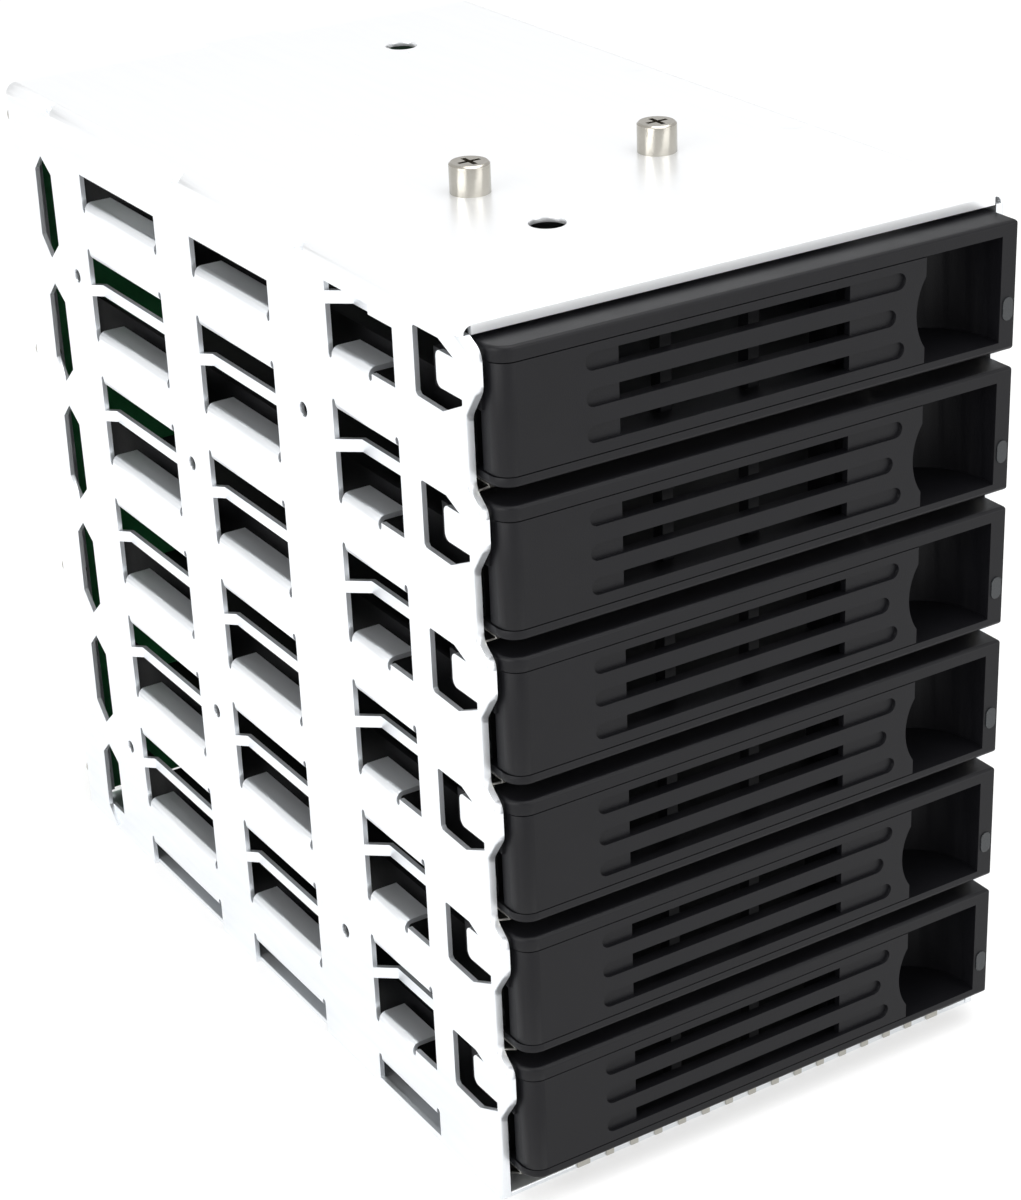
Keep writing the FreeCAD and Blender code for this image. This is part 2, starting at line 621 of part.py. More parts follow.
# ---------------------------------------------------------------- backplane
rear = S.cage_depth
board = new_body("backplane_board")
pad(board, "board", "y", fy(rear), fy(rear) + S.board_thick,
    box(fx(S.sheet), fx(S.cage_width) - S.sheet, 2, S.cage_height - 2))
SCREW_XS = (fx(3.5), fx(S.cage_width) - 3.5)
cut(board, "screw_holes", "y", fy(rear), fy(rear) + S.board_thick,
    *[("circle", a, z, S.board_screw) for a in SCREW_XS for z in SCREW_ZS])
vents = cut(board, "air_slots", "y", fy(rear), fy(rear) + S.board_thick,
            obround(fx(22), fx(98), bz(6), 2.5))
down_the_bays(board, "air_slots_all", [vents])

board_screws = new_body("board_screws")
pad(board_screws, "threads", "y", fy(rear) - S.sheet * 2, fy(rear) + S.board_thick,
    *[("circle", a, z, S.board_screw) for a in SCREW_XS for z in SCREW_ZS])
pad(board_screws, "heads", "y", fy(rear) + S.board_thick, fy(rear) + S.board_thick + 1.8,
    *[("circle", a, z, S.board_head) for a in SCREW_XS for z in SCREW_ZS])

sockets = new_body("drive_sockets")
foot = S.strip_foot + S.sheet + S.tray_lift + S.tray_sheet
shell = pad(sockets, "housing", "y", fy(rear) - S.socket_deep, fy(rear),
            box(fx(S.socket_x) - S.socket_half, fx(S.socket_x) + S.socket_half,
                bz(foot) + 1.5, bz(foot) + 8))
mouth = cut(sockets, "mouth", "y", fy(rear) - S.socket_deep, fy(rear) - 2,
            box(fx(S.socket_x) - S.socket_half + 2, fx(S.socket_x) + S.socket_half - 2,
                bz(foot) + 3.2, bz(foot) + 6.2))
tongue_bar = pad(sockets, "contact_bar", "y", fy(rear) - S.socket_deep + 1, fy(rear) - 1.5,
                 box(fx(S.socket_x) - 17, fx(S.socket_x) + 17, bz(foot) + 4.9, bz(foot) + 6.2))
down_the_bays(sockets, "sockets_all", [shell, mouth, tongue_bar])

leds = new_body("status_leds")
led = pad(leds, "led", "y", fy(rear) - 1.4, fy(rear),
          box(fx(111.9), fx(113.5), bz(S.pipe_z) - 0.8, bz(S.pipe_z) + 0.8))
down_the_bays(leds, "leds_all", [led])

back = fy(rear) + S.board_thick
power = new_body("power_sockets")
power_shell = pad(power, "shell", "y", back, back + 10.5, box(fx(18), fx(41), 90, 99))
power_mouth = cut(power, "mouth", "y", back + 1.5, back + 10.5, box(fx(19.2), fx(39.8), 91.2, 97.8))
power_pins = pad(power, "pins", "y", back, back + 8,
                 *[("circle", fx(a), 94.5, 1.05) for a in (21.9, 27.0, 32.0, 37.1)])
repeat(power, "power_all", [power_shell, power_mouth, power_pins], "Z", -32, 2)

data = new_body("data_sockets")
data_shell = pad(data, "shell", "y", back, back + 9, box(fx(52), fx(75), 88, 99))
data_mouth = cut(data, "mouth", "y", back + 2, back + 9, box(fx(53), fx(74), 90, 97))
data_card = pad(data, "card", "y", back, back + 7.5, box(fx(55), fx(72), 92.8, 94.2))
repeat(data, "data_all", [data_shell, data_mouth, data_card], "Z", -32, 2)

chips = new_body("board_chips")
pad(chips, "packages", "y", back, back + 1.6,
    box(fx(84), fx(98), 112, 126), box(fx(84), fx(94), 60, 70), box(fx(30), fx(36), 132, 140),
    box(fx(60), fx(72), 24, 34))

# ------------------------------------------------------- carrier: the bezel
carriers = []


def carrier_body(label):
    body = new_body(f"{label}_1")
    carriers.append((label, body))
    return body


left, right_end = fx(S.bezel_left), fx(S.bezel_right)
low_edge, high_edge = bz(-S.bezel_half), bz(S.bezel_half)
low_lip, high_lip = low_edge + S.lip, high_edge - S.lip_high
tray_foot = bz(S.strip_foot) + S.sheet + S.tray_lift
tray_floor = tray_foot + S.tray_sheet

bezel = carrier_body("bezel")
pad(bezel, "block", "y", fy(S.bezel_front), fy(S.bezel_back),
    box(left, right_end, low_edge, high_edge))
dress(bezel, "Fillet", "left_front_edge", S.bezel_round, lambda e: abs(
    e.tangentAt(e.FirstParameter).z) > 0.999 and e.CenterOfMass.x < 0
    and e.CenterOfMass.y < fy(S.bezel_front).value + 0.1)
dress(bezel, "Fillet", "corners", 0.8, lambda e: abs(
    e.tangentAt(e.FirstParameter).y) > 0.999)
pad(bezel, "pocket_shell", "y", fy(S.bezel_back) - 0.5, fy(13),
    box(fx(84), fx(114.2), tray_floor, high_lip + 1))
pad(bezel, "left_boss", "y", fy(S.bezel_back) - 0.01, fy(9.5),
    box(fx(5.2), fx(22), tray_floor, tray_floor + 7.5))
cut(bezel, "lever_bay", "z", low_lip, high_lip,
    [(fx(-1), fy(S.bezel_front) - 1), (fx(S.lever_right), fy(S.bezel_front) - 1),
     (fx(S.lever_right), fy(S.web_front)), (fx(S.channel_end), fy(S.web_front)),
     (fx(S.channel_end), fy(S.bezel_back)), (fx(-1), fy(S.bezel_back))])
cut(bezel, "finger_pocket", "z", low_lip, high_lip,
    [(fx(86), fy(-1.2)), (fx(S.lever_right) - 0.5, fy(-1.2)),
     (fx(S.lever_right) - 0.5, fy(S.bezel_front) - 1), (fx(S.pocket_right), fy(S.bezel_front) - 1),
     (fx(S.pocket_right), fy(S.bezel_front), fx(99.3), fy(S.bezel_front) + 3.4, 1),
     (fx(96.0), fy(10.12)), (fx(92), fy(10.3)), (fx(88), fy(9.2)), (fx(86), fy(6.5))])
cut(bezel, "air_window", "y", fy(S.web_front) - 1, fy(S.bezel_back),
    box(fx(27), fx(40.3), bz(-9.5), bz(9.5)), box(fx(42.7), fx(59.5), bz(-9.5), bz(9.5)),
    box(fx(61.9), fx(79.5), bz(-9.5), bz(9.5)))
cut(bezel, "pin_bores", "z", low_edge + 0.8, high_edge - 0.8,
    ("circle", fx(S.hinge_x), fy(S.hinge_y), S.pin_radius))
cut(bezel, "lens_hole", "y", fy(S.bezel_front), fy(S.bezel_back),
    obround_tall(bz(S.pipe_z) - S.lens_half_tall, bz(S.pipe_z) + S.lens_half_tall,
                 fx(S.pipe_x), S.lens_half_wide))
cut(bezel, "screw_bores", "x", fx(5.2), fx(5.2) + S.screw_length - 1,
    ("circle", fy(S.screw_y), tray_foot + S.screw_z, S.screw_radius))
cut(bezel, "screw_bores_right", "x", fx(S.cage_width) - 5.2 - S.screw_short + 1,
    fx(S.cage_width) - 5.2,
    ("circle", fy(S.screw_y), tray_foot + S.screw_z - 1.6, S.screw_radius))

# ------------------------------------------------------- carrier: the lever
lever = carrier_body("lever")
lever_low, lever_high = low_lip + S.lever_gap, high_lip - S.lever_gap
front = fy(S.bezel_front)
round_left = S.lever_round
tip = fx(S.lever_left)
pad(lever, "skin", "z", lever_low, lever_high,
    [(tip + round_left, front), (fx(S.lever_right), front),
     (fx(S.lever_right), front + S.lever_skin), (fx(11.5), front + S.lever_skin),
     (fx(5.6), front + S.lever_skin + 1.5), (fx(5.6), fy(-1.2)), (tip, fy(-1.2)),
     (tip, front + round_left, tip + round_left, front + round_left, 1)])
pad(lever, "edge_ribs", "y", front + 0.5, fy(-1.4),
    box(fx(5.6), fx(S.lever_right), lever_high - S.lever_rib, lever_high),
    box(fx(5.6), fx(S.lever_right), lever_low, lever_low + S.lever_rib))
pad(lever, "hub", "z", lever_low, lever_high,
    ("circle", fx(S.hinge_x), fy(S.hinge_y), S.hub_radius))
pad(lever, "hook", "z", bz(0.6), bz(7.85),
    box(fx(S.hook_left), fx(S.hook_left) + S.hook_thick, fy(-2.2), fy(S.hook_rear)))
cut(lever, "pin_bore", "z", lever_low, lever_high,
    ("circle", fx(S.hinge_x), fy(S.hinge_y), S.pin_radius + S.pin_play))
cut(lever, "scoop", "y", front, fy(-1),
    ("circle", fx(S.scoop_x), bz(S.scoop_z), S.scoop))
SLOTS = [(S.slot_step - 0.15, S.slot_right), (-0.15, S.slot_right_mid),
         (-S.slot_step - 0.15, S.slot_right)]
cut(lever, "grille_recess", "y", front, front + S.slot_depth,
    *[obround(fx(S.slot_left), fx(end), bz(mid), S.slot_half) for mid, end in SLOTS])
cut(lever, "grille_vents", "y", front + S.slot_depth, front + S.lever_skin,
    *[box(fx(S.vent_left), fx(S.vent_right), bz(mid) - S.slot_half, bz(mid) + S.slot_half)
      for mid, _ in SLOTS])

pin = carrier_body("lever_pin")
pad(pin, "pin", "z", low_edge + 0.8, high_edge - 0.8,
    ("circle", fx(S.hinge_x), fy(S.hinge_y), S.pin_radius))

# -------------------------------------------------------- carrier: the tray
tray = carrier_body("tray")
side, ear = S.tray_half, S.ear_out
pad(tray, "floor", "z", tray_foot, tray_floor,
    [(-ear, fy(S.bezel_back)), (ear, fy(S.bezel_back)), (ear, fy(S.ear_rear)),
     (side, fy(S.ear_joggle)), (side, fy(S.tray_rear)), (-side, fy(S.tray_rear)),
     (-side, fy(S.ear_joggle)), (-ear, fy(S.ear_rear))])
thick = S.tray_sheet
pad(tray, "left_side", "z", tray_foot, tray_foot + S.tray_side,
    [(-ear, fy(S.bezel_back)), (-ear + thick, fy(S.bezel_back)),
     (-ear + thick, fy(S.ear_rear) - 0.4), (-side + thick, fy(S.ear_joggle) - 0.4),
     (-side + thick, fy(S.tray_rear)), (-side, fy(S.tray_rear)), (-side, fy(S.ear_joggle)),
     (-ear, fy(S.ear_rear))])
pad(tray, "right_ear", "z", tray_foot, tray_foot + S.ear_low,
    [(ear, fy(S.bezel_back)), (ear, fy(S.ear_rear)), (side, fy(S.ear_joggle)),
     (side, fy(S.ear_joggle) + 2), (side - thick, fy(S.ear_joggle) + 2),
     (side - thick, fy(S.ear_joggle) - 0.4), (ear - thick, fy(S.ear_rear) - 0.4),
     (ear - thick, fy(S.bezel_back))])
pad(tray, "right_side", "z", tray_foot, tray_foot + S.tray_side,
    box(side - thick, side, fy(S.ear_joggle), fy(S.tray_rear)))
cut(tray, "ear_hole", "x", -ear, -ear + thick,
    ("circle", fy(S.screw_y), tray_foot + S.screw_z, S.screw_head))
cut(tray, "ear_hole_right", "x", ear - thick, ear,
    ("circle", fy(S.screw_y), tray_foot + S.screw_z - 1.6, S.screw_head))
cut(tray, "drive_base_holes", "z", tray_foot, tray_floor,
    *[("circle", a, fy(y), 1.7) for a in (-47.625, 47.625) for y in (79.6, 124.05)])

screws = carrier_body("tray_screws")
for name, base, drop, way, length in (("left", -ear, 0, 1, S.screw_length),
                                      ("right", ear, 1.6, -1, S.screw_short)):
    ends = sorted([base, base + thick * way], key=lambda v: v.value)
    at = ("circle", fy(S.screw_y), tray_foot + S.screw_z - drop)
    pad(screws, f"{name}_head", "x", *ends, (*at, S.screw_head))
    ends = sorted([base + thick * way, base + length * way], key=lambda v: v.value)
    pad(screws, f"{name}_thread", "x", *ends, (*at, S.screw_radius))
    ends = sorted([base, base + 0.8 * way], key=lambda v: v.value)
    a, b = at[1:]
    cut(screws, f"{name}_cross", "x", *ends,
        [(a - 1.6, b - 0.35), (a - 0.35, b - 0.35), (a - 0.35, b - 1.6), (a + 0.35, b - 1.6),
         (a + 0.35, b - 0.35), (a + 1.6, b - 0.35), (a + 1.6, b + 0.35), (a + 0.35, b + 0.35),
         (a + 0.35, b + 1.6), (a - 0.35, b + 1.6), (a - 0.35, b + 0.35), (a - 1.6, b + 0.35)])

# -------------------------------------------------- carrier: the light pipe
pipe = carrier_body("light_pipe")
pad(pipe, "lens", "y", front - 0.2, front + 3,
    obround_tall(bz(S.pipe_z) - S.lens_half_tall, bz(S.pipe_z) + S.lens_half_tall,
                 fx(S.pipe_x), S.lens_half_wide))
pad(pipe, "rod", "z", bz(S.pipe_z) - S.rod / 2, bz(S.pipe_z) + S.rod / 2,
    [(fx(S.pipe_x) - 0.9, front + 2), (fx(S.pipe_x) + 0.9, front + 2),
     (fx(S.pipe_x) + 0.9, fy(13.8)), (side + S.rod, fy(20)), (side + S.rod, fy(S.pipe_rear)),
     (side, fy(S.pipe_rear)), (side, fy(20)), (fx(S.pipe_x) - 0.9, fy(13.4))])

# ------------------------------------------------- carrier: the spring clip
clip = carrier_body("spring_clip")
clip_top = low_edge
strip_low = clip_top - S.spring
a, b = fy(S.spring_front), fy(S.spring_rear)
pad(clip, "strip", "x", fx(3.4), fx(116.2),
    [(a, clip_top), (a - 0.35, clip_top - 0.5), (fy(1.6), clip_top - 3.05),
     (fy(4.6), clip_top - 3.05), (b - 0.1, clip_top - 2.5), (b - 0.3, clip_top - 2.3),
     (fy(4.5), clip_top - 2.75), (fy(1.7), clip_top - 2.75), (a + 0.25, clip_top - 0.5),
     (a + 0.3, strip_low), (b, strip_low), (b, clip_top)])
gap = cut(clip, "finger_gap", "z", clip_top - 4, strip_low - 0.01,
          box(fx(3.4) + S.finger_pitch, fx(3.4) + S.finger_pitch + 1.2,
              fy(S.spring_front) - 2, fy(S.spring_rear) + 1))
repeat(clip, "finger_gaps", [gap], "X", S.finger_pitch, int(S.finger_count.value) - 1)

doc.recompute()

# ----------------------------------------------- the same parts in each bay
nodes = [wall, right, top, bottom, fingers, studs, board, board_screws, sockets, leds,
         power, data, chips]
for label, source in carriers:
    nodes.append(source)
    for bay in range(2, BAYS + 1):
        copy = new_body(f"{label}_{bay}")
        link = doc.addObject("PartDesign::FeatureBase", f"{label}_{bay}_shape")
        link.BaseFeature = source
        copy.Group = [link]
        copy.Tip = link
        drop = -(S.pitch * (bay - 1))
        copy.Placement = FreeCAD.Placement(
            FreeCAD.Vector(0, 0, drop.value), FreeCAD.Rotation())
        bind(copy, "Placement.Base.z", drop)
        nodes.append(copy)
doc.recompute()

# --------------------------------------------------------- check and export
for item in doc.Objects:
    if {"Invalid", "Error"} & set(item.State):
        raise RuntimeError(f"{item.Label}: {item.State}")
for item in nodes:
    if item.Shape.isNull() or not item.Shape.isValid():
        raise RuntimeError(f"{item.Label}: bad shape")
for old in os.listdir("parts"):
    os.remove(os.path.join("parts", old))
total = 0
for item in nodes:
    item.Shape.exportStep(os.path.join("parts", item.Label + ".step"))
    facets = len(item.Shape.tessellate(0.1)[1])
    total += facets
    if not item.Label[-1].isdigit() or item.Label.endswith("_1"):
        print(item.Label, len(item.Shape.Solids), "solids", facets, "facets", item.Shape.BoundBox)
print(len(nodes), "nodes", total, "facets")
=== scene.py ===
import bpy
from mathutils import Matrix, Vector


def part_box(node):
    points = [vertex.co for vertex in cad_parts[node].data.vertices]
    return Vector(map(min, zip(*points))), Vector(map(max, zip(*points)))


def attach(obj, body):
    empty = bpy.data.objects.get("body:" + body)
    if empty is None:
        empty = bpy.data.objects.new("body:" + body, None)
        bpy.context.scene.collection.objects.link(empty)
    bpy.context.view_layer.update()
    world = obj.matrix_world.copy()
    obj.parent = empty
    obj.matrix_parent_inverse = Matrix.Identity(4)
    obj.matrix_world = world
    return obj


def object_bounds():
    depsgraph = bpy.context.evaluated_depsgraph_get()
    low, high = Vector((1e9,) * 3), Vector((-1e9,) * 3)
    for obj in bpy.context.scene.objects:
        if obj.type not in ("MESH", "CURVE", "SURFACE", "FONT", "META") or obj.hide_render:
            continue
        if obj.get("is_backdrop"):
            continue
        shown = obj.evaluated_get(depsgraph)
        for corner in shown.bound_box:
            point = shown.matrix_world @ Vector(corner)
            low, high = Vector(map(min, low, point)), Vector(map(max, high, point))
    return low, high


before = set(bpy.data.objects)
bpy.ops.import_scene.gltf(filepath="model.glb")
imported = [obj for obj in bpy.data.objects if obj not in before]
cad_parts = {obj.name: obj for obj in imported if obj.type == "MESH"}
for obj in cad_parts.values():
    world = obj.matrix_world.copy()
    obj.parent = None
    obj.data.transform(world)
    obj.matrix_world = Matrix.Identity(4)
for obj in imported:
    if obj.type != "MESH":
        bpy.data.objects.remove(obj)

"""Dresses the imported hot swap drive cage: finishes, fine fittings, lights and camera."""

import logging
import math
from dataclasses import dataclass, field
from enum import Enum
from typing import Any, Iterable

import bmesh
import bpy
from mathutils import Matrix, Vector

log = logging.getLogger("drive_cage")
MM = 0.001
BAYS = 6
# Corners of neighbouring facets within this distance are joined before edges are softened.
WELD_MM = 0.002
# Only edges sharper than this are softened, in this many steps.
SHARP_DEG = 40
EDGE_STEPS = 2
# Marks and contacts lie this far over the face under them.
LIFT_MM = 0.01


def linear(hex_colour: str) -> tuple[float, float, float, float]:
    """Turns an sRGB hex colour to linear light.

    Args:
        hex_colour: A colour such as "#C8CCD0".

    Returns:
        Linear red, green, blue and an alpha of 1.
    """
    parts = [int(hex_colour[i:i + 2], 16) / 255 for i in (1, 3, 5)]
    light = [c / 12.92 if c <= 0.04045 else ((c + 0.055) / 1.055) ** 2.4 for c in parts]
    return (light[0], light[1], light[2], 1.0)


def per_mm(size: float) -> float:
    """Gives the texture scale whose features are about this many millimetres wide."""
    return 1.0 / (size * MM)


def add_node(tree: bpy.types.NodeTree, kind: str, settings: dict[str, Any] | None = None,
             links: dict[str | int, bpy.types.NodeSocket] | None = None) -> bpy.types.Node:
    """Adds a node with its settings and links.

    Args:
        tree: The node tree that gets the node.
        kind: The node's type, such as "ShaderNodeBump".
        settings: Property or input names with their values.
        links: Input names or indices with the sockets that feed them.

    Returns:
        The new node.
    """
    node = tree.nodes.new(kind)
    for name, value in (settings or {}).items():
        if hasattr(node, name):
            setattr(node, name, value)
        else:
            node.inputs[name].default_value = value
    for name, source in (links or {}).items():
        tree.links.new(source, node.inputs[name])
    return node


@dataclass(frozen=True)
class Finish:
    """A surface: its colour range, gloss and fine relief.

    Sizes that end in _mm are the widths of a pattern's features. Where fine_mm
    is given, the relief follows that finer grain and not the colour's.
    """

    name: str
    colour: str
    second: str
    metallic: float
    roughness: float
    grain_mm: float
    stretch: tuple[float, float, float] = (1.0, 1.0, 1.0)
    relief: float = 0.1
    rough_spread: float = 0.08
    specular: float = 0.5
    transmission: float = 0.0
    fine_mm: float = 0.0
    coat: float = 0.0
    coat_roughness: float = 0.2
    relief_mm: float = 0.1

    def build(self) -> bpy.types.Material:
        """Builds the node material of this finish."""
        material = bpy.data.materials.new(self.name)
        material.use_nodes = True
        tree = material.node_tree
        tree.nodes.clear()
        place = add_node(tree, "ShaderNodeTexCoord")
        turned = add_node(tree, "ShaderNodeMapping", {"Scale": self.stretch},
                          {"Vector": place.outputs["Object"]})
        grain = add_node(tree, "ShaderNodeTexNoise",
                         {"Scale": per_mm(self.grain_mm), "Detail": 4.0, "Roughness": 0.55},
                         {"Vector": turned.outputs["Vector"]})
        tint = add_node(tree, "ShaderNodeMix", {"data_type": "RGBA"},
                        {0: grain.outputs["Fac"]})
        tint.inputs[6].default_value = linear(self.colour)
        tint.inputs[7].default_value = linear(self.second)
        gloss = add_node(tree, "ShaderNodeMapRange", {
            "To Min": self.roughness - self.rough_spread,
            "To Max": self.roughness + self.rough_spread}, {"Value": grain.outputs["Fac"]})
        height = grain.outputs["Fac"]
        if self.fine_mm:
            fine = add_node(tree, "ShaderNodeTexNoise",
                            {"Scale": per_mm(self.fine_mm), "Detail": 2.0, "Roughness": 0.6},
                            {"Vector": place.outputs["Object"]})
            height = fine.outputs["Fac"]
        bump = add_node(tree, "ShaderNodeBump", {
            "Strength": self.relief, "Distance": self.relief_mm * MM}, {"Height": height})
        shader = add_node(tree, "ShaderNodeBsdfPrincipled", {
            "Metallic": self.metallic, "Specular IOR Level": self.specular,
            "Transmission Weight": self.transmission, "Coat Weight": self.coat,
            "Coat Roughness": self.coat_roughness},
            {"Base Color": tint.outputs[2], "Roughness": gloss.outputs["Result"],
             "Normal": bump.outputs["Normal"]})
        add_node(tree, "ShaderNodeOutputMaterial", None, {"Surface": shader.outputs["BSDF"]})
        return material


class Surface(Enum):
    """Every finish on the cage, named for the real material and how it was made; the top
    plate's zinc is the walls' zinc painted lighter, a painted highlight for the light from
    above.
    """

    # Cold-rolled sheet with a thin zinc coat: pale and cool, faint rolling marks along y.
    ZINC_SHEET = Finish("electro_zinc_sheet_rolled", "#F4F6F8", "#E6EAEE", 0.82, 0.34, 2.6,
                        stretch=(1.0, 0.12, 1.0), relief=0.06, rough_spread=0.07)
    # The top sheet is the same coil and flat. It is painted brighter than the walls: its
    # lighter colour and lower metallic are painted light that stands for the light falling on
    # the top from above.
    ZINC_TOP_PAINTED_LIGHTER = Finish("electro_zinc_sheet_painted_lighter", "#FAFBFC", "#F2F4F6", 0.7, 0.30, 3.0,
                      stretch=(1.0, 0.1, 1.0), relief=0.03, rough_spread=0.05)
    # Injection-moulded ABS blend with a spark-eroded texture: charcoal, satin sheen.
    BLACK_ABS = Finish("moulded_abs_charcoal_textured", "#0D0D10", "#131316", 0.0, 0.44, 6.0,
                       relief=0.25, rough_spread=0.05, specular=0.21, fine_mm=0.28)
    # Steel sheet of the trays under a matt black powder coat, faintly grainy.
    BLACK_STEEL = Finish("powder_coated_steel_matt_black", "#08080A", "#0D0D0F", 0.0, 0.55, 3.0,
                         relief=0.2, rough_spread=0.06, specular=0.15, fine_mm=0.4)
    # Bright nickel over steel, smooth with soft reflections.
    NICKEL = Finish("nickel_plated_steel_turned", "#B9B5AC", "#AAA69D", 1.0, 0.24, 1.5,
                    relief=0.03)
    # Thin spring steel under bright tin.
    SPRING = Finish("tinned_spring_steel", "#C9C7C0", "#B9B6AE", 1.0, 0.30, 1.2, relief=0.05)
    # Fibreglass board under green solder mask, whose weave and gloss show faintly.
    BOARD = Finish("fibreglass_board_green_mask", "#1C5A34", "#26703F", 0.0, 0.35, 1.4,
                   stretch=(1.0, 1.0, 0.2), relief=0.1, coat=0.3)
    # Glass-filled nylon of the sockets: dull black.
    SOCKET = Finish("glass_filled_nylon_black", "#161618", "#1E1E20", 0.0, 0.5, 1.0, relief=0.1)
    # Natural nylon of the power sockets: ivory, waxy.
    PALE_NYLON = Finish("natural_nylon_moulded", "#DEDACB", "#E6E2D6", 0.0, 0.45, 2.0)
    # Epoxy of the chip packages: dull grey-black.
    EPOXY = Finish("moulded_epoxy_package", "#141416", "#1A1A1C", 0.0, 0.45, 0.8)
    # Smoked polycarbonate light guide: glassy, with a dull grey lens at its front.
    SMOKED = Finish("smoked_polycarbonate_moulded", "#33373A", "#3C4043", 0.0, 0.14, 3.0,
                   relief=0.02, transmission=0.5, rough_spread=0.04)
    # Small lamp packages: pale, faintly green resin.
    LAMP = Finish("lamp_package_resin", "#D8E6CC", "#E2EBD8", 0.0, 0.3, 1.0)
    # Gold flash over nickel on the contacts: thin warm gloss.
    GOLD = Finish("gold_flashed_contacts", "#D9B25C", "#CBA352", 1.0, 0.25, 0.6)


class Palette:
    """Builds each material once and hands it out."""

    def __init__(self) -> None:
        """Starts with no material built."""
        self._built: dict[Surface, bpy.types.Material] = {}

    def get(self, surface: Surface) -> bpy.types.Material:
        """Gives the material of a surface, building it the first time."""
        if surface not in self._built:
            self._built[surface] = surface.value.build()
        return self._built[surface]


def dress(node: str, surface: Surface, palette: Palette, edge_mm: float = 0.0) -> None:
    """Gives a CAD node its finish and, if asked, softened edges.

    Args:
        node: The node's name.
        surface: The finish for all its slots.
        palette: Where the material comes from.
        edge_mm: Width of the edge rounding, or 0 for none.
    """
    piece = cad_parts[node]
    for slot in piece.material_slots:
        slot.material = palette.get(surface)
    log.info("piece %s: %s", node, surface.value.name)
    if edge_mm:
        weld = piece.modifiers.new("joined_edges", "WELD")
        weld.merge_threshold = WELD_MM * MM
        soft = piece.modifiers.new("soft_edges", "BEVEL")
        soft.width = edge_mm * MM
        soft.segments = EDGE_STEPS
        soft.limit_method = "ANGLE"
        soft.angle_limit = math.radians(SHARP_DEG)
        soft.harden_normals = True
        soft.use_clamp_overlap = True


def finish_piece(name: str, shape: bmesh.types.BMesh, body: str,
                 material: bpy.types.Material) -> None:
    """Turns a bmesh into a piece that rides on a body.

    Args:
        name: The piece's name.
        shape: The mesh in metres in the part's frame; it is freed.
        body: The CAD body it rides on.
        material: Its material.
    """
    bmesh.ops.recalc_face_normals(shape, faces=shape.faces)
    mesh = bpy.data.meshes.new(name)
    shape.to_mesh(mesh)
    shape.free()
    piece = bpy.data.objects.new(name, mesh)
    bpy.context.scene.collection.objects.link(piece)
    piece.data.materials.append(material)
    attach(piece, body)
    log.info("piece %s on %s: %d faces", name, body, len(mesh.polygons))


def block(shape: bmesh.types.BMesh, low: Iterable[float], high: Iterable[float]) -> None:
    """Adds a box between two corners.

    Args:
        shape: The bmesh that gets the box.
        low: Its lowest corner.
        high: Its highest corner.
    """
    low, high = Vector(low), Vector(high)
    matrix = Matrix.Translation((low + high) / 2) @ Matrix.Diagonal((*(high - low), 1.0))
    bmesh.ops.create_cube(shape, size=1.0, matrix=matrix)


